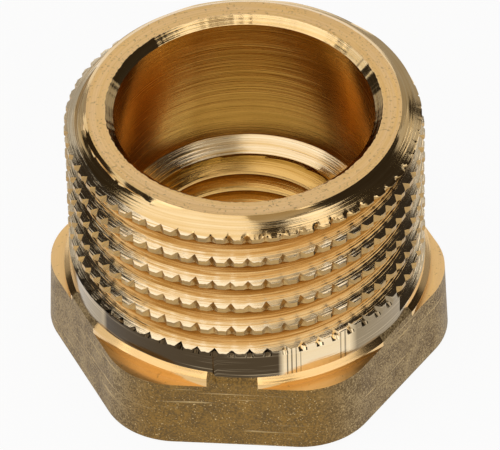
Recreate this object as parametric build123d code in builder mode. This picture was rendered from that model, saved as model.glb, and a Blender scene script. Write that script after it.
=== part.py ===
from build123d import *
import math
import os

# Reducing hex bushing, one piece of brass: G 1/2 outside by G 1/4 inside.
# Millimetres. +Z is the bore axis, pointing out of the male end. The origin is
# the centre of the hexagon's end face, and one flat of the hexagon faces -Y.

# Overall
overall_length = 17.0
hex_height = 4.7

# Hexagon, hot forged: its six sides lean in towards the male end
across_flats = 21.7
corner_radius = 4.5
forging_draft = 2.0  # degrees
end_bevel = 0.25

# Male thread, G 1/2, 55 degree form
male_major_diameter = 20.955
male_pitch = 1.814
male_minor_diameter = 18.631
male_crest_share = 1 / 6  # of the pitch, at the crest and again at the root
band_height = 0.1  # plain metal left between the collar and the end of the groove
run_out_azimuth = -27.5  # degrees from +X, where the groove ends

# Collar between the thread and the hexagon
collar_diameter = 21.6
collar_height = 0.63
collar_cone_height = 0.3

# Rim of the male end
rim_face_diameter = 18.3
burr_bevel_width = 0.25
burr_bevel_height = 0.2
lead_in_height = 0.68

# Bore from the male end
bore_diameter = 15.2
bore_depth = 9.17
bore_mouth_width = 0.6
bore_mouth_height = 0.47
drill_point_angle = 118.0  # degrees, of the shoulder that the drill leaves

# Female thread, G 1/4, left at its tapping size
female_major_diameter = 13.157
female_minor_diameter = 11.445
female_mouth_clearance = 0.3  # of the countersink beyond the thread's major diameter

# Room for cutting tools to run past the metal
tool_overrun = 0.1

# Worked out from the sizes above
male_radius = male_major_diameter / 2
male_root_radius = male_minor_diameter / 2
thread_depth = male_radius - male_root_radius
crest_width = male_crest_share * male_pitch
groove_half_mouth = (male_pitch - crest_width) / 2
groove_half_root = crest_width / 2
flank_slope = (groove_half_mouth - groove_half_root) / thread_depth
collar_radius = collar_diameter / 2
collar_top = hex_height + collar_height
groove_start = collar_top + band_height + groove_half_mouth
groove_turns = (overall_length + male_pitch - groove_start) / male_pitch
rim_radius = rim_face_diameter / 2
bore_radius = bore_diameter / 2
bore_bottom = overall_length - bore_depth
tapping_radius = female_minor_diameter / 2
shoulder_drop = (bore_radius - tapping_radius) / math.tan(math.radians(drill_point_angle / 2))
female_mouth_radius = female_major_diameter / 2 + female_mouth_clearance
female_mouth_depth = female_mouth_radius - tapping_radius
blank_reach = across_flats
blank_top = overall_length + 2 * male_pitch

with BuildPart() as hex_bushing:
    # Forged hexagon, tall enough to leave metal for the collar
    with BuildSketch(Plane.XY) as hexagon:
        RegularPolygon(radius=across_flats / 2, side_count=6, major_radius=False, rotation=0)
    extrude(amount=collar_top, taper=forging_draft)
    corners = hex_bushing.edges().filter_by(lambda edge: abs((edge % 0).Z) > 0.5)
    fillet(corners, radius=corner_radius)

    # Bar that the male thread is cut on, longer than the finished part
    with BuildSketch(Plane.XY.offset(hex_height)) as spigot:
        Circle(male_radius)
    extrude(amount=blank_top - hex_height)

    # Shoulder turned down round the collar
    with BuildSketch(Plane.XZ) as shoulder_cut:
        with BuildLine():
            Polyline(
                (collar_radius, hex_height),
                (collar_radius, collar_top - collar_cone_height),
                (male_radius, collar_top),
                (male_radius, collar_top + tool_overrun),
                (blank_reach, collar_top + tool_overrun),
                (blank_reach, hex_height),
                close=True,
            )
        make_face()
    revolve(axis=Axis.Z, mode=Mode.SUBTRACT)

    # Helical V groove of the male thread, right hand, which runs on past the rim
    with BuildLine() as groove_line:
        Helix(
            pitch=male_pitch,
            height=male_pitch * groove_turns,
            radius=male_radius,
            center=(0, 0, groove_start),
        )
    groove_path = groove_line.line.rotate(Axis.Z, run_out_azimuth)
    groove_foot = groove_path @ 0
    groove_plane = Plane(
        origin=groove_foot,
        x_dir=(groove_foot.X, groove_foot.Y, 0),
        z_dir=-(groove_path % 0),
    )
    with BuildSketch(groove_plane) as groove_section:
        with BuildLine():
            wide = groove_half_mouth + flank_slope * tool_overrun
            Polyline(
                (tool_overrun, -wide),
                (tool_overrun, wide),
                (-thread_depth, groove_half_root),
                (-thread_depth, -groove_half_root),
                close=True,
            )
        make_face()
    sweep(path=groove_path, is_frenet=True, mode=Mode.SUBTRACT)

    # Rim faced off, with its burr bevel and the lead-in chamfer of the thread
    with BuildSketch(Plane.XZ) as rim_cut:
        with BuildLine():
            Polyline(
                (0, overall_length),
                (rim_radius, overall_length),
                (rim_radius + burr_bevel_width, overall_length - burr_bevel_height),
                (male_radius, overall_length - lead_in_height),
                (blank_reach, overall_length - lead_in_height),
                (blank_reach, blank_top + tool_overrun),
                (0, blank_top + tool_overrun),
                close=True,
            )
        make_face()
    revolve(axis=Axis.Z, mode=Mode.SUBTRACT)

    # Everything bored out: smooth bore, drill-point shoulder, tapping bore, mouths
    with BuildSketch(Plane.XZ) as bore_cut:
        with BuildLine():
            Polyline(
                (0, 0),
                (female_mouth_radius, 0),
                (tapping_radius, female_mouth_depth),
                (tapping_radius, bore_bottom - shoulder_drop),
                (bore_radius, bore_bottom),
                (bore_radius, overall_length - bore_mouth_height),
                (bore_radius + bore_mouth_width, overall_length),
                (0, overall_length),
                close=True,
            )
        make_face()
    revolve(axis=Axis.Z, mode=Mode.SUBTRACT)

    # Outer edge of the hexagon's end face eased
    end_face = hex_bushing.faces().sort_by(Axis.Z)[0]
    chamfer(end_face.outer_wire().edges(), length=end_bevel)

hex_bushing.part.label = "hex_bushing"
os.makedirs("parts", exist_ok=True)
export_step(hex_bushing.part, "parts/hex_bushing.step")
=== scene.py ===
"""The looks of a reducing hex bushing of brass, 1/2 outside by 1/4 inside.

One mesh carries every form of the bushing: the threads inside and out, the
notches across the outside thread, the turned collar and the forged hexagon.
+Z runs along the bore towards the male end, and the origin is under the hexagon.
Sizes are in millimetres, and become metres when the mesh is made.
"""

import math

import bmesh
import bpy
import numpy as np
from bpy.props import FloatProperty, FloatVectorProperty, IntProperty, PointerProperty
from bpy.types import Operator, Panel, PropertyGroup
from mathutils import Matrix, Vector


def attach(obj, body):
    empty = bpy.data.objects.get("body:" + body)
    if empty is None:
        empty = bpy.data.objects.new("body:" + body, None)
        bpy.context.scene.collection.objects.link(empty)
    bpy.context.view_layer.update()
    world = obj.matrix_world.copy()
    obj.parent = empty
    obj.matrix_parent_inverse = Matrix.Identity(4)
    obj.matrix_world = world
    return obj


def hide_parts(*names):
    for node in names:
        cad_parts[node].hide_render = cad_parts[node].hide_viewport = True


bl_info = {
    "name": "Reducing hex bushing",
    "version": (1, 0, 0),
    "blender": (4, 5, 0),
    "location": "View3D > Sidebar > Bushing",
    "description": "Builds a reducing hex bushing of brass and the studio it stands in",
    "category": "Object",
}

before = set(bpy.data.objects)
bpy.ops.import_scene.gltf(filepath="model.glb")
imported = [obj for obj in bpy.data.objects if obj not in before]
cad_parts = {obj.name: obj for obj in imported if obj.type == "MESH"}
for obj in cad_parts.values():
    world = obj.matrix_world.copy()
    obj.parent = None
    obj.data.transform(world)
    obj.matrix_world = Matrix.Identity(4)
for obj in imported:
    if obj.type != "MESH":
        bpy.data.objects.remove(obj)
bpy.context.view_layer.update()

MM = 0.001
NODE = "hex_bushing"
BODY = "root"

SEED = 7

# Where the outside thread's groove starts, and the middle of one of its notches, in degrees from +X
THREAD_START = -27.5
NOTCH_AT = -84.5

# Places of the mesh's columns across one notch and the land beside it, as shares of the notch spacing
NOTCH_COLUMNS = (-0.5, -0.39, -0.287, -0.19, -0.095, 0.0, 0.095, 0.19, 0.287, 0.39)

# Rows on a flank of the outside thread, as shares of the way from the root's edge to the crest's edge
FLANK_SHARES = (0.0, 0.33, 0.66, 1.0)

# The flats at a thread's crest and root are the pitch over this
FLATS_IN_PITCH = 6

# Turns of the helix from the collar to past the rim
TURNS = 8

# Rings up the flats, and up each cone that a thread runs into
FLAT_RINGS = 9
CONE_RINGS = 7

# Rings on the drilled cone, as shares of the way from the bore to the grooves of the inside thread
DRILLED_SHARES = (0.33, 0.66, 1.0)

# How much the notches' depths differ, as a share, and how rough the land between them is, in mm
NOTCH_VARIATION = 0.28
ROUGH_LAND = 0.035

# A burr stands on the band: its angle and half width in degrees, and its height in mm
BURR_AT = -95.8
BURR_HALF_WIDTH = 0.6
BURR_HEIGHT = 0.09

# The collar steps up beside the burr: the degrees it takes to rise, goes on for and takes to fade,
# and its height in mm
STEP_RISE = 0.25
STEP_LENGTH = 50.0
STEP_FADE = 25.0
STEP_HEIGHT = 0.28

# How uneven the edge of the bore's bevel is, in mm
MOUTH_BURR = 0.035

# The angle of the hexagon's front flat, and half the angle between two corners, in degrees
FRONT_FLAT = -90.0
HALF_FLAT = 30.0

# Points nearer than this, in mm, become one, and edges that turn by more than this angle stay sharp
MERGE = 0.002
SHARP = math.radians(24)

# Noise in waves to the metre: along a cut for its fine and its broad lines, clouds, and pits
FINE_DRIFT = 150.0
BROAD_DRIFT = 60.0
CLOUD_WAVES = 350.0
PIT_WAVES = 6500.0

# How much higher broad tool lines stand than fine ones, and how much more lines crowd on a level face
BROAD_HEIGHT = 1.5
LEVEL_CROWDING = 1.7

# Painted shade: the forged skin is painted browner in front of this y, in metres, and turns so at this
# rate to the metre
SHADED_FRONT_FROM = -0.0095
SHADED_FRONT_RATE = 900

# Painted shade: the dark of small pits, which have no hollow in the mesh
PIT_SHADE_COLOUR = (0.16, 0.10, 0.045, 1.0)
# Painted highlight: the colour of glints on the forged skin, and of its scratches, real marks painted
# bright
GLINT_HIGHLIGHT_COLOUR = (0.72, 0.52, 0.25, 1.0)

# Middle and half width of the golden streaks of painted highlight down the bore, in degrees from +X
BORE_HIGHLIGHTS = ((134.0, 19.0), (40.0, 15.0))

# Middle, half width and soft edge of the painted dark reflections on the band, in degrees from +X, and
# how strong each is.
# The first three are arcs, and the others are the short marks of a chattering tool, real marks whose dark
# is painted.
BAND_PAINTED_DARK = (
    (-106.0, 32.5, 2.0, 0.97),
    (-150.0, 22.0, 12.0, 0.65),
    (-36.7, 14.2, 3.0, 0.7),
    (-72.5, 0.3, 0.15, 0.8),
    (-71.1, 0.3, 0.15, 0.8),
    (-69.65, 0.25, 0.15, 0.8),
    (-68.15, 0.2, 0.15, 0.7),
    (-54.2, 0.3, 0.15, 0.6),
    (-52.5, 0.4, 0.15, 0.6),
)

# The camera's image in pixels, and the pixel where the middle of the rim lies
IMAGE = (500, 450)
RIM_PIXEL = (243.9, 106.9)

FLOOR_SIZE = 1.2
FLOOR_GAP = 0.02 * MM
LAMP_AIM = (0, 0, 0.01)


def column_angles(sizes):
    """Angles of the mesh columns, one turn and the first again, starting at the thread's start.

    Each notch spacing has the same set of places, so the columns crowd where the notches are.
    """
    spacing = 360 / sizes.notch_count
    turns = np.arange(sizes.notch_count)[:, None] + np.array(NOTCH_COLUMNS)[None, :]
    angles = (NOTCH_AT + spacing * turns).ravel()
    first = int(np.argmin(np.abs((angles - THREAD_START + 180) % 360 - 180)))
    angles = np.concatenate([angles[first:], angles[:first] + 360])
    angles += 360 * round((THREAD_START - angles[0]) / 360)
    return np.append(angles, angles[0] + 360)


def crest_cuts(sizes, angles, rng):
    """How deep the crest is cut at each column, one row for each turn.

    Each notch is a V with its deepest line in the middle of its spacing and a depth of its own. The
    land between is a little rough. Both are numbered along the helix, so each turn ends as the next
    one starts.
    """
    columns = len(angles) - 1
    place = (angles - NOTCH_AT) / (360 / sizes.notch_count)
    number = np.rint(place).astype(int)
    vee = np.clip(1 - np.abs(place - number) / (sizes.notch_width_share / 2), 0, None)
    turns = np.arange(TURNS)[:, None]
    own = 1 + NOTCH_VARIATION * rng.uniform(-1, 1, TURNS * sizes.notch_count + 1)
    rough = ROUGH_LAND * rng.uniform(0, 1, TURNS * columns + 1) ** 2
    notches = own[turns * sizes.notch_count + number - number[0]] * vee
    return sizes.notch_depth * notches + rough[turns * columns + np.arange(columns + 1)]


class MaleThread:
    """The outside of the spigot as a radius over angle and height."""

    def __init__(self, sizes, angles, rng):
        self.s = sizes
        self.angles = angles
        self.turn = (angles - angles[0]) / 360
        self.columns = np.arange(len(angles))
        self.cuts = crest_cuts(sizes, angles, rng)
        self.crest = sizes.male_major / 2
        self.root = sizes.male_minor / 2
        self.land = sizes.male_pitch / FLATS_IN_PITCH
        self.half_mouth = (sizes.male_pitch - self.land) / 2
        self.half_root = self.land / 2
        self.slope = (self.half_mouth - self.half_root) / (self.crest - self.root)
        self.start = sizes.collar_top + sizes.band_height + self.half_mouth

    def radius(self, z):
        """The smaller of two radii, the groove's and the crest's.

        The groove's grows with the distance from the helix, past half the root's width.
        The crest is less its cuts above the height where the notches start, and has the burr below it.
        """
        turns = (z - self.start) / self.s.male_pitch - self.turn
        number = np.maximum(np.rint(turns), 0)
        off = np.abs(turns - number) * self.s.male_pitch
        groove = self.root + (off - self.half_root) / self.slope
        groove = np.clip(groove, self.root, self.crest + BURR_HEIGHT)
        crest = np.clip(np.floor(turns).astype(int) + 1, 0, TURNS - 1)
        cut = np.where(z > self.s.notch_end, self.cuts[crest, self.columns], 0)
        ridge = np.where(z < self.s.notch_end, burr(self.angles), 0)
        return np.minimum(groove, self.crest - cut + ridge)

    def offsets(self, turn):
        """Rows across one turn, from the lower edge of the groove to the middle of the crest above it."""
        below = self.half_mouth - self.cuts[turn] * self.slope
        above = self.half_mouth - self.cuts[turn + 1] * self.slope
        middle = np.zeros_like(below)
        rows = [-(self.half_root + share * (below - self.half_root)) for share in reversed(FLANK_SHARES)]
        rows.append(middle)
        rows += [self.half_root + share * (above - self.half_root) for share in FLANK_SHARES]
        rows.append(middle + self.s.male_pitch / 2)
        return np.array(rows)

    def rows(self):
        """Heights of the rows, held between the collar and the lead-in.

        Those of the first turn stay on the band, and the others follow the helix.
        """
        helix = self.start + self.s.male_pitch * self.turn
        ground = helix - self.half_mouth
        band = np.minimum(self.start + self.offsets(0)[:, :1], ground)
        heights = [band]
        for turn in range(TURNS - 1):
            heights.append(helix + self.offsets(turn) + self.s.male_pitch * turn)
        foot = self.s.collar_top + collar_step(self.angles)
        return np.clip(np.concatenate(heights), foot, self.s.lead_in_foot)


def collar_step(angles):
    """How much higher the collar stands at each angle: most beside the burr, fading out away from it."""
    back = (BURR_AT - angles + 360) % 360
    share = np.clip(np.minimum(back / STEP_RISE, (STEP_LENGTH - back) / STEP_FADE), 0, 1)
    return STEP_HEIGHT * share * (back < STEP_LENGTH)


def burr(angles):
    """A narrow ridge at one angle."""
    off = np.abs((angles - BURR_AT + 180) % 360 - 180)
    return BURR_HEIGHT * np.clip(1 - off / BURR_HALF_WIDTH, 0, 1)


def ring(angles, radius, height):
    """Points of one ring: radius and height, each a number or one for each angle."""
    turn = np.radians(angles)
    radius = radius + 0 * turn
    return np.stack([radius * np.cos(turn), radius * np.sin(turn), height + 0 * turn], axis=-1)


def hexagon_radius(sizes, angles, height):
    """Radius of the hexagon at each angle: six flats that lean in with height, corners rounded.

    A flat is its distance from the axis over the cosine of the angle from its middle. Near a
    corner the radius is that of the corner's arc, which touches the two flats.
    """
    flat = sizes.across_flats / 2 - height * math.tan(sizes.draft)
    half = math.radians(HALF_FLAT)
    off = np.radians((angles - FRONT_FLAT + HALF_FLAT) % (2 * HALF_FLAT) - HALF_FLAT)
    straight = flat / np.cos(off)
    corner = sizes.corner_radius
    centre = (flat - corner) / math.cos(half)
    beyond = half - np.abs(off)
    arc = centre * np.cos(beyond) + np.sqrt(np.maximum(corner**2 - (centre * np.sin(beyond)) ** 2, 0))
    touch = math.atan2(centre * math.sin(half), flat)
    return np.where(np.abs(off) > touch, arc, straight)


class Shell:
    """Collects rings of points and the faces between them, with a finish for each strip."""

    def __init__(self):
        self.points = []
        self.faces = []
        self.finish = []
        self.count = 0

    def add(self, points):
        """Adds rings, an array of rings by columns by 3, and returns the numbers of their points."""
        numbers = self.count + np.arange(points.shape[0] * points.shape[1])
        self.points.append(points.reshape(-1, 3))
        self.count += len(numbers)
        return numbers.reshape(points.shape[:2])

    def strips(self, numbers, finish):
        """Adds four-sided faces between each ring and the next.

        The finish is one number, one for each strip or one for each face.
        """
        a, b = numbers[:-1, :-1], numbers[:-1, 1:]
        c, d = numbers[1:, 1:], numbers[1:, :-1]
        quads = np.stack([a, b, c, d], axis=-1)
        finish = np.asarray(finish)
        if finish.ndim < 2:
            finish = finish.reshape(-1, 1)
        kinds = np.broadcast_to(finish, quads.shape[:2])
        self.faces.extend(quads.reshape(-1, 4).tolist())
        self.finish.extend(kinds.ravel().tolist())

    def thin_out(self, fine, coarse, finish):
        """Joins a ring to one inside it with half as many columns: a triangle and a quad to each pair.

        The faces point up, or down if both rings are given backwards.
        """
        a, b, c = fine[0:-2:2], fine[1:-1:2], fine[2::2]
        d, e = coarse[:-1], coarse[1:]
        self.faces.extend(np.stack([a, b, d], axis=-1).tolist())
        self.faces.extend(np.stack([b, c, e, d], axis=-1).tolist())
        self.finish.extend([finish] * (2 * len(a)))


FINISHES = (
    "forged_skin", "turned_end", "hex_shoulder", "collar", "band", "thread",
    "crest", "lead_in", "rim", "bore", "drilled_cone", "tapped",
)


def build_bushing(sizes):
    """The whole bushing as one shell, from the end face up the outside and down the bore.

    The outside has all the columns and the inside every second one. Two faults are known: the end face
    points up, into the metal, and the seam lacks a triangle of 0.02 square millimetres, where the groove
    starts.
    """
    rng = np.random.default_rng(SEED)
    kind = {name: number for number, name in enumerate(FINISHES)}
    fine = column_angles(sizes)
    coarse = fine[::2]
    shell = Shell()
    male = MaleThread(sizes, fine, rng)
    outside = add_hexagon(shell, kind, sizes, fine, male)
    thread = add_outside_thread(shell, kind, fine, male, outside[-1:])
    rim = add_lead_in(shell, kind, sizes, fine, male, thread[-1:])
    end = add_inside(shell, kind, sizes, coarse, rng, rim)
    shell.thin_out(outside[0], end, kind["turned_end"])
    return shell


def add_hexagon(shell, kind, sizes, angles, male):
    """Adds the end's bevel, the six flats, the shoulder and the collar, and returns their numbers.

    The collar is a cylinder with a cone on it. Where the flats are nearer the axis, they cut it.
    """
    rings = [ring(angles, hexagon_radius(sizes, angles, 0) - sizes.end_bevel, 0)]
    for height in np.linspace(sizes.end_bevel, sizes.hex_height, FLAT_RINGS):
        rings.append(ring(angles, hexagon_radius(sizes, angles, height), height))
    collar = sizes.collar_diameter / 2
    shoulder = hexagon_radius(sizes, angles, sizes.hex_height)
    top = hexagon_radius(sizes, angles, sizes.collar_top)
    step = collar_step(angles)
    cone_foot = sizes.collar_top - sizes.collar_cone + step
    rings.append(ring(angles, np.minimum(collar, shoulder), sizes.hex_height))
    rings.append(ring(angles, np.minimum(collar, top), cone_foot))
    rings.append(ring(angles, male.crest + burr(angles), sizes.collar_top + step))

    below_collar = [kind["forged_skin"]] * FLAT_RINGS + [kind["hex_shoulder"]]
    finishes = np.repeat(np.array(below_collar)[:, None], len(angles) - 1, axis=1)
    cut = shoulder < collar
    on_collar = np.where(cut[:-1] & cut[1:], kind["forged_skin"], kind["collar"])
    numbers = shell.add(np.array(rings))
    shell.strips(numbers, np.concatenate([finishes, [on_collar, on_collar]]))
    return numbers


def add_outside_thread(shell, kind, angles, male, below):
    """Adds the plain band and the thread above the ring below, and returns their points' numbers.

    A row ends where the row one turn up begins. Strips between those two columns close the seam, and
    those of them that have no area are dropped when the mesh is made.
    """
    thread = shell.add(np.array([ring(angles, male.radius(z), z) for z in male.rows()]))
    shell.strips(np.concatenate([below, thread[:1]]), kind["band"])
    turn_rows = len(male.offsets(0))
    shell.strips(thread[:turn_rows + 1], kind["band"])
    on_flank = np.arange(len(thread) - turn_rows - 1) % turn_rows < turn_rows - 2
    shell.strips(thread[turn_rows:], np.where(on_flank, kind["thread"], kind["crest"]))
    seam = np.stack([thread[:-turn_rows, -1], thread[turn_rows:, 0]], axis=-1)
    shell.strips(seam, kind["thread"])
    return thread


def add_lead_in(shell, kind, sizes, angles, male, below):
    """Adds the cone that the thread runs out on and the slope above it, and returns the rim's outer ring.

    The radius is the smaller of the thread's and the cone's, which falls evenly with height.
    """
    slope = (male.crest - sizes.bevel_diameter / 2) / (sizes.rim_height - sizes.lead_in_foot)
    rings = []
    for z in np.linspace(sizes.lead_in_foot, sizes.rim_height, CONE_RINGS):
        cone = male.crest - slope * (z - sizes.lead_in_foot)
        rings.append(ring(angles, np.minimum(male.radius(z + 0 * angles), cone), z))
    lead_in = shell.add(np.array(rings))
    shell.strips(np.concatenate([below, lead_in]), kind["lead_in"])
    rim = shell.add(np.array([ring(angles, sizes.rim_diameter / 2, sizes.length)]))
    shell.strips(np.concatenate([lead_in[-1:], rim]), kind["lead_in"])
    return rim[0]


def add_inside(shell, kind, sizes, angles, rng, rim):
    """Adds the rim, the bore, the drilled cone and the thread below it, and returns its lowest ring."""
    bore = sizes.bore_diameter / 2
    mouth = bore + sizes.mouth_width
    wobble = rng.uniform(-1, 1, len(angles))
    wobble[-1] = wobble[0]
    inner = shell.add(np.array([
        ring(angles, mouth + MOUTH_BURR * wobble, sizes.length),
        ring(angles, bore, sizes.length - sizes.mouth_height),
        ring(angles, bore, sizes.length - sizes.bore_depth),
    ]))
    shell.thin_out(rim, inner[0], kind["rim"])
    shell.strips(inner, [kind["lead_in"], kind["bore"]])
    cone_rings, thread_rings = tapped_rings(sizes, angles)
    cone = shell.add(cone_rings)
    shell.strips(np.concatenate([inner[-1:], cone]), kind["drilled_cone"])
    threads = shell.add(thread_rings)
    shell.strips(np.concatenate([cone[-1:], threads]), kind["tapped"])
    end = shell.add(np.array([ring(angles, sizes.female_mouth / 2, 0)]))
    shell.strips(np.concatenate([threads[-1:], end]), kind["turned_end"])
    return end[0]


def tapped_rings(sizes, angles):
    """The drilled cone and the thread below it, as rings from the bore down to the end face.

    The thread's radius is the larger of the drilled hole, the groove along its helix, the cone
    that the drill left above and the countersink below.
    """
    crest = sizes.female_minor / 2
    root = sizes.female_major / 2
    pitch = sizes.female_pitch
    land = pitch / FLATS_IN_PITCH
    half_mouth = (pitch - land) / 2
    half_root = land / 2
    slope = (half_mouth - half_root) / (root - crest)
    turn = (angles - angles[0]) / 360
    bore = sizes.bore_diameter / 2
    floor = sizes.length - sizes.bore_depth
    cone_rise = 1 / math.tan(sizes.drill_angle / 2)
    tapped_top = floor - (bore - root) * cone_rise
    drilled_top = floor - (bore - crest) * cone_rise
    mouth = sizes.female_mouth / 2

    def radius(z):
        helix = z - pitch * turn
        off = np.abs(helix - np.rint(helix / pitch) * pitch)
        groove = np.clip(root - (off - half_root) / slope, crest, root)
        cone = bore - (floor - z) / cone_rise
        sink = mouth - z
        return np.maximum(np.maximum(groove, cone), np.maximum(sink, crest))

    cone = [ring(angles, bore + share * (root - bore), floor + share * (tapped_top - floor))
            for share in DRILLED_SHARES]
    near_top = [ring(angles, radius(z + 0 * angles), z)
                for z in np.linspace(tapped_top, drilled_top, CONE_RINGS)]
    one = np.array([half_mouth, (half_mouth + half_root) / 2, half_root, 0,
                    -half_root, -(half_mouth + half_root) / 2, -half_mouth])
    low = mouth - crest
    rows = []
    for number in range(int(math.ceil(drilled_top / pitch)) + 1, -2, -1):
        for offset in one:
            z = np.clip(number * pitch + offset + pitch * turn, low, drilled_top)
            rows.append(ring(angles, radius(z), z))
    near_mouth = [ring(angles, radius(z + 0 * angles), z) for z in np.linspace(low, 0, CONE_RINGS)]
    return np.array(cone), np.array(near_top + rows + near_mouth)


def mesh_object(name, shell, scale):
    """Turns a shell into an object.

    Points at one place are merged, faces with no area dropped, and edges past an angle kept sharp.
    """
    mesh = bpy.data.meshes.new(name)
    points = np.concatenate(shell.points) * scale
    mesh.from_pydata(points, [], shell.faces)
    mesh.polygons.foreach_set("material_index", np.array(shell.finish, dtype=np.int32))
    body = bpy.data.objects.new(name, mesh)
    bpy.context.scene.collection.objects.link(body)
    work = bmesh.new()
    work.from_mesh(mesh)
    bmesh.ops.remove_doubles(work, verts=work.verts, dist=MERGE * scale)
    bmesh.ops.dissolve_degenerate(work, edges=work.edges, dist=MERGE * scale)
    work.to_mesh(mesh)
    work.free()
    mesh.shade_smooth()
    mesh.set_sharp_from_angle(angle=SHARP)
    return body


class Wire:
    """One output of a node. Sums and products of wires and numbers add Math nodes."""

    def __init__(self, finish, socket):
        self.finish = finish
        self.socket = socket

    def _math(self, operation, *values):
        return self.finish.node("ShaderNodeMath", {"operation": operation}, dict(enumerate(values)))

    def __add__(self, other):
        return self._math("ADD", self, other)

    __radd__ = __add__

    def __sub__(self, other):
        return self._math("SUBTRACT", self, other)

    def __rsub__(self, other):
        return self._math("SUBTRACT", other, self)

    def __mul__(self, other):
        return self._math("MULTIPLY", self, other)

    __rmul__ = __mul__

    def __truediv__(self, other):
        return self._math("DIVIDE", self, other)

    def __pow__(self, other):
        return self._math("POWER", self, other)

    def __rtruediv__(self, other):
        return self._math("DIVIDE", other, self)

    def sine(self):
        return self._math("SINE", self)

    def cosine(self):
        return self._math("COSINE", self)

    def size(self):
        return self._math("ABSOLUTE", self)

    def clamp(self):
        return self.finish.node("ShaderNodeClamp", {}, {0: self})


class Finish:
    """A material and short ways to add nodes to it."""

    def __init__(self, name):
        self.material = bpy.data.materials.new(name)
        self.material.use_nodes = True
        self.tree = self.material.node_tree
        self.shader = self.tree.nodes["Principled BSDF"]
        self.shader.inputs["Metallic"].default_value = 1.0
        self.place = self.node("ShaderNodeTexCoord", {}, {}, "Object")

    def node(self, kind, settings, values, output=0):
        """Adds a node: its settings first, then the values or links of its sockets."""
        node = self.tree.nodes.new(kind)
        for key, value in settings.items():
            setattr(node, key, value)
        for key, value in values.items():
            if isinstance(value, Wire):
                self.tree.links.new(value.socket, node.inputs[key])
            else:
                node.inputs[key].default_value = value
        return Wire(self, node.outputs[output])

    def feed(self, socket, value):
        """Links a wire to one of the shader's sockets, or sets its number."""
        if isinstance(value, Wire):
            self.tree.links.new(value.socket, self.shader.inputs[socket])
        else:
            self.shader.inputs[socket].default_value = value

    def mix(self, share, first, second):
        """A colour between two colours."""
        return self.node("ShaderNodeMix", {"data_type": "RGBA"}, {0: share, 6: first, 7: second}, 2)

    def noise(self, scale, detail=3.0, stretch=(1, 1, 1)):
        """Noise from 0 to 1. Scale is in waves to the metre. Stretch multiplies it along each axis."""
        place = self.node("ShaderNodeMapping", {}, {0: self.place, 3: stretch})
        return self.node("ShaderNodeTexNoise", {}, {0: place, "Scale": scale, "Detail": detail}, 0)

    def axes(self):
        """The object's x, y and z."""
        apart = self.node("ShaderNodeSeparateXYZ", {}, {0: self.place})
        outputs = apart.socket.node.outputs
        return [Wire(self, output) for output in outputs]

    def cut_lines(self, lines):
        """The fine and the broad lines of a turning tool. Lines is in waves to the metre."""
        return self.tool_path(lines, FINE_DRIFT), self.tool_path(lines / 4, BROAD_DRIFT)

    def radius(self):
        """Distance from the axis."""
        x, y = self.axes()[:2]
        return (x * x + y * y) ** 0.5

    def direction(self):
        """Angle round the axis from +X, in radians from minus pi to pi."""
        x, y = self.axes()[:2]
        return self.node("ShaderNodeMath", {"operation": "ARCTAN2"}, {0: y, 1: x})

    def tool_path(self, scale, drift):
        """Noise that follows a turning tool round the axis.

        It changes fast with radius and height together, and slowly along the cut.
        """
        x, y, z = self.axes()
        across = (self.radius() * LEVEL_CROWDING + z) * scale
        place = self.node("ShaderNodeCombineXYZ", {}, {0: x * drift, 1: y * drift, 2: across})
        return self.node("ShaderNodeTexNoise", {}, {0: place, "Scale": 1.0, "Detail": 2.0}, 0)

    def threading_path(self, pitch, turns, drift):
        """Noise that follows a threading tool: lines of the same place in the groove climb with it.

        The place in the groove is an angle that gains one turn with each pitch of height and loses
        one with each turn round the axis, so its sine and cosine have no seam.
        """
        x, y, z = self.axes()
        phase = z * (2 * math.pi / pitch) - self.direction()
        along = phase.cosine() * turns + x * drift
        across = phase.sine() * turns + y * drift
        place = self.node("ShaderNodeCombineXYZ", {}, {0: along, 1: across, 2: z * (drift / 3)})
        return self.node("ShaderNodeTexNoise", {}, {0: place, "Scale": 1.0, "Detail": 3.0}, 0)

    def bump(self, height, distance):
        """Feeds a height to the shader's normal."""
        self.feed("Normal", self.node("ShaderNodeBump", {}, {"Height": height, "Distance": distance}))


def colour(value):
    """A colour property with the alpha that sockets want."""
    return (value[0], value[1], value[2], 1.0)


def turned_finish(name, bright, deep, roughness, lines=9000.0, depth=0.000008, shade=0.5, pits=0.0):
    """Cut brass: tool lines in its height, colour and gloss, slow clouds, and small pits painted dark as
    painted shade.

    Lines is in waves to the metre, depth is the lines' height in metres, shade says how far lines and
    clouds part bright from deep, and pits says how common pits are.
    """
    finish = Finish(name)
    fine, broad = finish.cut_lines(lines)
    cloud = finish.noise(CLOUD_WAVES)
    mixed = ((fine * 0.6 + broad * 0.4 - 0.5) * (3 * shade) + (cloud - 0.5) * 0.6 + 0.6).clamp()
    tint = finish.mix(mixed, colour(deep), colour(bright))
    # painted shade: dark specks where pits are
    if pits:
        speck = ((finish.noise(PIT_WAVES, 2.0) - (0.72 - 0.03 * pits)) * 10).clamp()
        tint = finish.mix(speck * 0.5, tint, PIT_SHADE_COLOUR)
    finish.feed("Base Color", tint)
    finish.feed("Roughness", roughness + 0.2 * (fine - 0.5) + 0.1 * (cloud - 0.5))
    finish.bump(fine + broad * BROAD_HEIGHT, depth)
    return finish.material


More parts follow.
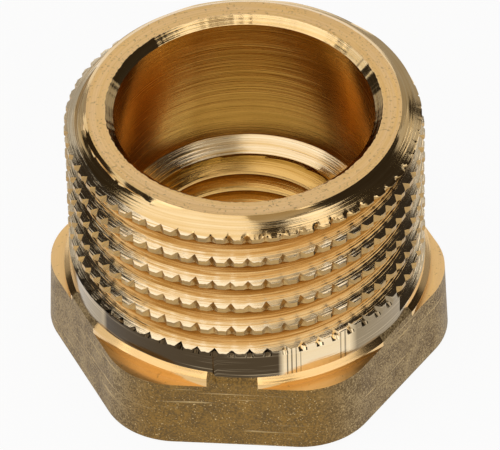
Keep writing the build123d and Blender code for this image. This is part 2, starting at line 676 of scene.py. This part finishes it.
def thread_finish(name, pitch, crest, root, tones, roughness):
    """A cut thread: streaks along the cut, painted highlight in cream beside the crest and painted shade
    towards the root.

    Pitch, crest radius and root radius are in metres, and tones are the pale, middle and dark colours.
    """
    finish = Finish(name)
    pale, middle, dark = tones
    streaks = finish.threading_path(pitch, 6.0, 260.0)
    broad = finish.threading_path(pitch, 1.6, 160.0)
    deepness = ((crest - finish.radius()) / (crest - root)).clamp()
    # painted highlight: paler towards the crest
    lit = ((streaks - 0.5) * 3.2 + (broad - 0.5) * 1.5 + 1.3 - deepness * 1.7).clamp()
    tint = finish.mix(lit, colour(middle), colour(pale))
    # painted shade: darker towards the root
    dim = ((deepness - 0.5) * 1.8 - (streaks - 0.5) * 2.5).clamp()
    tint = finish.mix(dim * 0.85, tint, colour(dark))
    finish.feed("Base Color", tint)
    finish.feed("Roughness", roughness + 0.12 * (broad - 0.5) + 0.05 * deepness)
    finish.bump(streaks + broad * BROAD_HEIGHT, 0.00002)
    return finish.material


def bore_finish(name, bright, deep, highlight_tint):
    """The wall of the bore: fine turning lines, and two golden streaks of painted highlight down it."""
    finish = Finish(name)
    fine, broad = finish.cut_lines(12000.0)
    cloud = finish.noise(CLOUD_WAVES)
    mixed = ((fine - 0.5) * 1.6 + (broad - 0.5) + (cloud - 0.5) * 0.6 + 0.5).clamp()
    tint = finish.mix(mixed, colour(deep), colour(bright))
    angle = finish.direction() + (cloud - 0.5) * 0.3
    # painted highlight: the golden streaks down the bore
    for middle, width in BORE_HIGHLIGHTS:
        near = (1 - (angle - math.radians(middle)).size() / math.radians(width)).clamp()
        tint = finish.mix(near * 0.7, tint, colour(highlight_tint))
    finish.feed("Base Color", tint)
    finish.feed("Roughness", 0.24 + 0.2 * (fine - 0.5))
    finish.bump(fine + broad * BROAD_HEIGHT, 0.00001)
    return finish.material


def band_finish(name, bright, deep, painted_dark):
    """The plain band: turning lines, arcs of painted dark reflection, and short marks across it where the
    tool chattered.

    The marks are real, and their dark is painted reflection as well. Near an arc's middle the painted
    dark is full, and it fades over the arc's edge. The lines run through it.
    """
    finish = Finish(name)
    fine, broad = finish.cut_lines(12000.0)
    mixed = ((fine * 0.6 + broad * 0.4 - 0.5) * 1.5 + 0.6).clamp()
    tint = finish.mix(mixed, colour(deep), colour(bright))
    angle = finish.direction()
    lines = (1.15 - (fine - 0.5) * 2.4).clamp()
    # painted dark reflection: each arc and chatter mark darkens the band's colour
    for middle, half, edge, strength in BAND_PAINTED_DARK:
        near = ((math.radians(half) - (angle - math.radians(middle)).size()) / math.radians(edge)).clamp()
        tint = finish.mix(near * lines * strength, tint, colour(painted_dark))
    finish.feed("Base Color", tint)
    finish.feed("Roughness", 0.11 + 0.2 * (fine - 0.5))
    finish.bump(fine + broad * BROAD_HEIGHT, 0.000004)
    return finish.material


def forged_finish(name, light, dark, shaded):
    """The dull skin of a forging: fine grain, painted shade browning the front flat, painted glints, and
    scratches painted bright.
    """
    finish = Finish(name)
    y = finish.axes()[1]
    grain = finish.noise(8500.0, 6.0)
    cloud = finish.noise(900.0, 3.0)
    mixed = ((grain - 0.5) * 4.5 + (cloud - 0.5) * 1.8 + 0.5).clamp()
    tint = finish.mix(mixed, colour(dark), colour(light))
    # painted shade: the front flat is painted browner than the side flats
    front = ((SHADED_FRONT_FROM - y) * SHADED_FRONT_RATE).clamp()
    tint = finish.mix(front * 0.85, tint, finish.mix(mixed, colour(dark), colour(shaded)))
    # painted highlight: tiny glints, and scratches, real marks painted bright with them
    glint = ((finish.noise(10000.0, 1.0) - 0.66) * 12).clamp()
    long = finish.noise(1.0, 1.0, (170.0, 170.0, 5200.0))
    patch = finish.noise(420.0, 1.0)
    scratch = ((long - 0.66) * 14 + (patch - 0.58) * 4).clamp()
    tint = finish.mix((glint + scratch * 0.6).clamp(), tint, GLINT_HIGHLIGHT_COLOUR)
    finish.feed("Base Color", tint)
    finish.feed("Roughness", 0.5 + 0.3 * (grain - 0.5) - 0.15 * glint)
    finish.bump(grain + cloud - scratch * 0.5, 0.00005)
    return finish.material


def make_finishes(colours, sizes):
    """The material for each name in FINISHES."""
    brass, deep, pale, cream = colours.brass, colours.deep_brass, colours.highlight_pale_brass, colours.highlight_cream_brass
    inner, shaded_inner_deep = colours.shaded_inner_brass, colours.shaded_inner_deep
    thread_tones = (cream, colours.groove_brass, colours.root_shade_brass)
    outside = (sizes.male_pitch * MM, sizes.male_major / 2 * MM, sizes.male_minor / 2 * MM)
    inside = (sizes.female_pitch * MM, sizes.female_minor / 2 * MM, sizes.female_major / 2 * MM)
    band = band_finish("Turned band", cream, pale, colours.band_painted_dark)
    # the crest's colour is partly painted dark reflection
    crest = turned_finish(
        "Crest", colours.crest, deep, roughness=0.26, depth=0.00001, shade=0.6, pits=1.0)
    lead_in = turned_finish(
        "Lead-in", pale, deep, roughness=0.1, lines=11000.0, depth=0.000007, shade=0.7)
    rim = turned_finish(
        "Rim", brass, deep, roughness=0.36, lines=5000.0, depth=0.00001, shade=0.9, pits=4.0)
    shoulder = turned_finish(
        "Turned shoulder", brass, deep, roughness=0.34, lines=6000.0, depth=0.000004, shade=0.4, pits=2.5)
    cone = turned_finish(
        "Drilled cone", cream, deep, roughness=0.13, lines=6500.0, depth=0.000016, shade=1.2)
    return {
        "forged_skin": forged_finish("Forged skin", colours.skin, colours.skin_dark, colours.skin_shaded_front),
        "turned_end": turned_finish("Turned end", brass, deep, roughness=0.34, lines=5000.0),
        "hex_shoulder": shoulder,
        "collar": turned_finish("Turned collar", brass, deep, roughness=0.16, lines=7000.0),
        "band": band,
        "thread": thread_finish("Outside thread", *outside, thread_tones, 0.09),
        "crest": crest,
        "lead_in": lead_in,
        "rim": rim,
        "bore": bore_finish("Bore", inner, shaded_inner_deep, colours.bore_highlight_brass),
        "drilled_cone": cone,
        "tapped": thread_finish("Inside thread", *inside, (deep, inner, shaded_inner_deep), 0.13),
    }


class BushingSizes(PropertyGroup):
    """Sizes of the bushing in millimetres."""
    length: FloatProperty(name="Length", description="End face to rim, mm", default=17.0)
    hex_height: FloatProperty(
        name="Hexagon height", description="End face to shoulder, mm", default=4.7)
    across_flats: FloatProperty(
        name="Across flats", description="Of the hexagon at its end face, mm", default=21.7)
    corner_radius: FloatProperty(
        name="Corner radius", description="Of the hexagon, mm", default=4.5)
    draft: FloatProperty(
        name="Draft", description="Lean of the flats", default=math.radians(2), unit="ROTATION")
    end_bevel: FloatProperty(
        name="End bevel", description="Of the end face's edge, mm", default=0.25)
    collar_diameter: FloatProperty(
        name="Collar diameter", description="Between hexagon and thread, mm", default=21.6)
    collar_top: FloatProperty(
        name="Collar top", description="Height where the thread's cylinder starts, mm", default=5.33)
    collar_cone: FloatProperty(
        name="Collar cone", description="Height of the collar's sloping part, mm", default=0.3)
    male_major: FloatProperty(name="Male major", description="Over the crests, mm", default=20.955)
    male_minor: FloatProperty(name="Male minor", description="Over the roots, mm", default=18.631)
    male_pitch: FloatProperty(
        name="Male pitch", description="From crest to crest, mm", default=1.814)
    band_height: FloatProperty(
        name="Band", description="Least plain metal under the thread, mm", default=0.4)
    notch_count: IntProperty(name="Notches", description="Round the male thread", default=63)
    notch_depth: FloatProperty(name="Notch depth", description="Below the crests, mm", default=0.27)
    notch_width_share: FloatProperty(
        name="Notch width", description="As a share of the spacing", default=0.574)
    notch_end: FloatProperty(
        name="Notch end", description="Height where the notches start, mm", default=7.0)
    lead_in_foot: FloatProperty(
        name="Lead-in foot", description="Height where the lead-in cone starts, mm", default=16.32)
    rim_height: FloatProperty(
        name="Lead-in top", description="Height where the lead-in cone ends, mm", default=16.8)
    bevel_diameter: FloatProperty(
        name="Lead-in top diameter", description="Across the end of the cone, mm", default=18.8)
    rim_diameter: FloatProperty(
        name="Rim diameter", description="Outer edge of the flat rim, mm", default=18.3)
    bore_diameter: FloatProperty(
        name="Bore", description="Diameter of the smooth bore, mm", default=15.2)
    bore_depth: FloatProperty(
        name="Bore depth", description="Rim to the drilled cone, mm", default=9.17)
    mouth_width: FloatProperty(
        name="Mouth width", description="Of the bore's bevel, mm", default=0.45)
    mouth_height: FloatProperty(
        name="Mouth height", description="Of the bore's bevel, mm", default=0.42)
    drill_angle: FloatProperty(
        name="Drill angle", description="Of the cone under the bore",
        default=math.radians(118), unit="ROTATION")
    female_major: FloatProperty(
        name="Female major", description="Over the grooves inside, mm", default=13.157)
    female_minor: FloatProperty(
        name="Female minor", description="Of the drilled hole, mm", default=11.445)
    female_pitch: FloatProperty(
        name="Female pitch", description="From crest to crest, mm", default=1.337)
    female_mouth: FloatProperty(
        name="Female mouth", description="Of the countersink, mm", default=13.757)


class BushingColours(PropertyGroup):
    """Colours of the bushing's surfaces."""
    brass: FloatVectorProperty(
        name="Brass", description="Cut metal",
        subtype="COLOR", size=3, min=0, max=1, default=(0.88, 0.60, 0.30))
    # Painted highlight: a paler copy of brass, for the lead-in and the band
    highlight_pale_brass: FloatVectorProperty(
        name="Pale brass", description="Cleanest cuts",
        subtype="COLOR", size=3, min=0, max=1, default=(0.90, 0.68, 0.38))
    # Painted highlight: a cream copy of brass, for the band, the drilled cone and the thread beside its
    # crests
    highlight_cream_brass: FloatVectorProperty(
        name="Cream brass", description="Bright lines of the cut",
        subtype="COLOR", size=3, min=0, max=1, default=(0.94, 0.77, 0.52))
    groove_brass: FloatVectorProperty(
        name="Groove brass", description="Flanks of the grooves",
        subtype="COLOR", size=3, min=0, max=1, default=(0.74, 0.46, 0.17))
    # Painted shade: the colour the outside thread darkens to towards its roots
    root_shade_brass: FloatVectorProperty(
        name="Root brass", description="Bottom of the grooves",
        subtype="COLOR", size=3, min=0, max=1, default=(0.33, 0.17, 0.04))
    # Painted highlight: the colour of the golden streaks down the bore
    bore_highlight_brass: FloatVectorProperty(
        name="Streak brass", description="Golden streaks in the bore",
        subtype="COLOR", size=3, min=0, max=1, default=(0.95, 0.60, 0.15))
    # The bar surface of the crests is duller brass, and its colour is darkened further all round as
    # painted dark reflection
    crest: FloatVectorProperty(
        name="Crest", description="Bar surface left between the grooves",
        subtype="COLOR", size=3, min=0, max=1, default=(0.30, 0.20, 0.095))
    # Painted dark reflection: the colour of the band's dark arcs and chatter marks
    band_painted_dark: FloatVectorProperty(
        name="Painted dark reflection", description="Darker arcs and marks on the plain band",
        subtype="COLOR", size=3, min=0, max=1, default=(0.05, 0.031, 0.014))
    # Painted shade: darker copies of brass for the bore and the inside thread, standing in for the shade
    # inside
    shaded_inner_brass: FloatVectorProperty(
        name="Inner brass", description="Wall of the bore",
        subtype="COLOR", size=3, min=0, max=1, default=(0.53, 0.28, 0.055))
    shaded_inner_deep: FloatVectorProperty(
        name="Inner deep brass", description="Darker lines in the bore",
        subtype="COLOR", size=3, min=0, max=1, default=(0.35, 0.18, 0.028))
    deep_brass: FloatVectorProperty(
        name="Deep brass", description="Darker clouds in the metal",
        subtype="COLOR", size=3, min=0, max=1, default=(0.70, 0.43, 0.14))
    skin: FloatVectorProperty(
        name="Forged skin", description="Lighter grains",
        subtype="COLOR", size=3, min=0, max=1, default=(0.42, 0.30, 0.145))
    skin_dark: FloatVectorProperty(
        name="Forged skin dark", description="Darker grains",
        subtype="COLOR", size=3, min=0, max=1, default=(0.17, 0.105, 0.04))
    # Painted shade: the browner colour of the front flat
    skin_shaded_front: FloatVectorProperty(
        name="Forged skin warm", description="Browner grains",
        subtype="COLOR", size=3, min=0, max=1, default=(0.32, 0.175, 0.035))


class StudioSettings(PropertyGroup):
    """The camera and the light."""
    elevation: FloatProperty(
        name="Elevation", description="Camera above the horizon",
        default=math.radians(43.45), unit="ROTATION")
    turn: FloatProperty(
        name="Turn", description="Camera round the axis", default=math.radians(5.5), unit="ROTATION")
    roll: FloatProperty(
        name="Roll", description="Camera about its own axis",
        default=math.radians(-1.35), unit="ROTATION")
    distance: FloatProperty(name="Distance", description="Camera to the rim, mm", default=419.0)
    scale: FloatProperty(
        name="Scale", description="Pixels to the millimetre at the rim", default=17.294)
    air: FloatVectorProperty(
        name="Air", description="Light from all round",
        subtype="COLOR", size=3, min=0, max=1, default=(0.03, 0.025, 0.02))
    floor_glow: FloatProperty(
        name="Floor glow", description="Share of white in the floor as camera and reflections see it",
        default=0.93)


class BUSHING_OT_body(Operator):
    """Builds the bushing in place of the plain solid"""
    bl_idname = "bushing.body"
    bl_label = "Bushing"

    def execute(self, context):
        sizes = context.scene.bushing_sizes
        body = mesh_object("bushing", build_bushing(sizes), MM)
        finishes = make_finishes(context.scene.bushing_colours, sizes)
        for name in FINISHES:
            body.data.materials.append(finishes[name])
        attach(body, BODY)
        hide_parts(NODE)
        return {"FINISHED"}


def area_lamp(name, place, aim, size, radiance, tint=(1, 1, 1)):
    """A rectangular lamp at a place, facing a point.

    Its power is its radiance times pi times its area.
    """
    lamp = bpy.data.lights.new(name, "AREA")
    lamp.shape = "RECTANGLE"
    lamp.size, lamp.size_y = size
    lamp.energy = radiance * math.pi * lamp.size * lamp.size_y
    lamp.color = tint
    holder = bpy.data.objects.new(name, lamp)
    bpy.context.scene.collection.objects.link(holder)
    holder.location = place
    holder.rotation_euler = (Vector(aim) - Vector(place)).to_track_quat("-Z", "Y").to_euler()
    return holder


SOFTBOX_HEIGHT = 0.45

# Softboxes overhead: lowest and highest corner as shares of their height, radiance and tint
SOFTBOXES = {
    "Softbox left": ((-0.74, -0.78), (0.05, 0.34), 1.12, (1.0, 0.98, 0.95)),
    "Softbox low left": ((-1.7, -0.8), (-0.74, -0.2), 1.25, (1.0, 0.98, 0.95)),
    "Softbox dim right": ((0.05, -0.75), (0.5, -0.1), 0.42, (1.0, 0.88, 0.7)),
    "Softbox low right": ((0.5, -0.8), (1.7, -0.35), 1.25, (1.0, 0.98, 0.95)),
    "Softbox right": ((0.17, -0.03), (0.41, 0.5), 1.3, (1.0, 0.98, 0.97)),
    "Softbox front": ((-1.7, -2.2), (1.7, -0.8), 1.5, (1.0, 0.98, 0.95)),
    "Softbox back": ((-0.75, 0.8), (0.75, 1.5), 1.35, (1.0, 0.98, 0.95)),
}

# Lamps at the sides: place, size and radiance
SIDE_LAMPS = {
    "Lamp back left": ((-0.33, 0.36, 0.28), (0.16, 0.16), 0.5),
    "Lamp back right": ((0.33, 0.36, 0.28), (0.16, 0.16), 0.5),
    "Lamp left": ((-0.62, 0.02, 0.3), (0.3, 0.24), 0.9),
    "Backdrop": ((0.0, 0.8, 0.2), (2.4, 0.4), 0.35),
}


def overhead_softbox(name, low, high, radiance, tint):
    """A level softbox that covers the given range of directions, seen from the object."""
    height = SOFTBOX_HEIGHT
    width, depth = (high[0] - low[0]) * height, (high[1] - low[1]) * height
    place = ((low[0] + high[0]) / 2 * height, (low[1] + high[1]) / 2 * height, height)
    below = (place[0], place[1], 0)
    holder = area_lamp(name, place, below, (width, depth), radiance, tint)
    holder.rotation_euler = (0, 0, 0)


def floor_finish(studio):
    """A pale floor that the camera, reflections and glass see nearly white, and that keeps the shadow."""
    white = Finish("White floor")
    white.shader.inputs["Metallic"].default_value = 0.0
    white.feed("Base Color", (0.85, 0.85, 0.85, 1))
    white.feed("Roughness", 0.9)
    glow = white.node("ShaderNodeEmission", {}, {"Color": (1, 1, 1, 1), "Strength": 1.0})
    path = white.node("ShaderNodeLightPath", {}, {}, "Is Camera Ray")
    glossy = Wire(white, path.socket.node.outputs["Is Glossy Ray"])
    through = Wire(white, path.socket.node.outputs["Is Transmission Ray"])
    share = (path + glossy + through).clamp() * studio.floor_glow
    lit = Wire(white, white.shader.outputs[0])
    mixed = white.node("ShaderNodeMixShader", {}, {0: share, 1: lit, 2: glow})
    white.tree.links.new(mixed.socket, white.tree.nodes["Material Output"].inputs[0])
    return white.material


class BUSHING_OT_studio(Operator):
    """Sets the floor, the lamps and the camera"""
    bl_idname = "bushing.studio"
    bl_label = "Studio"

    def execute(self, context):
        scene = context.scene
        studio = scene.bushing_studio
        sizes = scene.bushing_sizes
        scene.view_settings.view_transform = "Standard"
        world = bpy.data.worlds.new("Studio air")
        world.use_nodes = True
        scene.world = world
        air = world.node_tree.nodes["Background"]
        air.inputs["Color"].default_value = colour(studio.air)
        air.inputs["Strength"].default_value = 1.0

        bpy.ops.mesh.primitive_plane_add(size=FLOOR_SIZE, location=(0, 0, -FLOOR_GAP))
        floor = bpy.context.object
        floor.name = "floor"
        floor.data.materials.append(floor_finish(studio))

        for name, (low, high, radiance, tint) in SOFTBOXES.items():
            overhead_softbox(name, low, high, radiance, tint)
        for name, (place, size, radiance) in SIDE_LAMPS.items():
            area_lamp(name, place, LAMP_AIM, size, radiance)

        camera = bpy.data.cameras.new("Camera")
        camera.lens = studio.distance * studio.scale * camera.sensor_width / IMAGE[0]
        holder = bpy.data.objects.new("Camera", camera)
        scene.collection.objects.link(holder)
        forward = Vector((0, math.cos(studio.elevation), -math.sin(studio.elevation)))
        right = Vector((1, 0, 0))
        up = Vector((0, math.sin(studio.elevation), math.cos(studio.elevation)))
        across = math.cos(studio.roll) * right + math.sin(studio.roll) * up
        down = math.sin(studio.roll) * right - math.cos(studio.roll) * up
        offset = (IMAGE[0] / 2 - RIM_PIXEL[0], IMAGE[1] / 2 - RIM_PIXEL[1])
        place = (across * offset[0] + down * offset[1]) / studio.scale - forward * studio.distance
        place = place * MM + Vector((0, 0, sizes.length * MM))
        turned = Matrix.Rotation(studio.turn, 4, "Z")
        pose = Matrix((across, -down, -forward)).transposed().to_4x4()
        holder.matrix_world = turned @ Matrix.Translation(place) @ pose
        scene.camera = holder
        return {"FINISHED"}


class BUSHING_PT_panel(Panel):
    """Lists the steps"""
    bl_label = "Bushing"
    bl_idname = "BUSHING_PT_panel"
    bl_space_type = "VIEW_3D"
    bl_region_type = "UI"
    bl_category = "Bushing"

    def draw(self, context):
        for step in OPERATORS:
            self.layout.operator(step.bl_idname)


OPERATORS = (BUSHING_OT_body, BUSHING_OT_studio)
CLASSES = (BushingSizes, BushingColours, StudioSettings) + OPERATORS + (BUSHING_PT_panel,)


def register():
    for item in CLASSES:
        bpy.utils.register_class(item)
    bpy.types.Scene.bushing_sizes = PointerProperty(type=BushingSizes)
    bpy.types.Scene.bushing_colours = PointerProperty(type=BushingColours)
    bpy.types.Scene.bushing_studio = PointerProperty(type=StudioSettings)


def unregister():
    del bpy.types.Scene.bushing_sizes
    del bpy.types.Scene.bushing_colours
    del bpy.types.Scene.bushing_studio
    for item in reversed(CLASSES):
        bpy.utils.unregister_class(item)


def main():
    """Runs the steps in order."""
    register()
    bpy.ops.bushing.body()
    bpy.ops.bushing.studio()


if __name__ == "__main__":
    main()
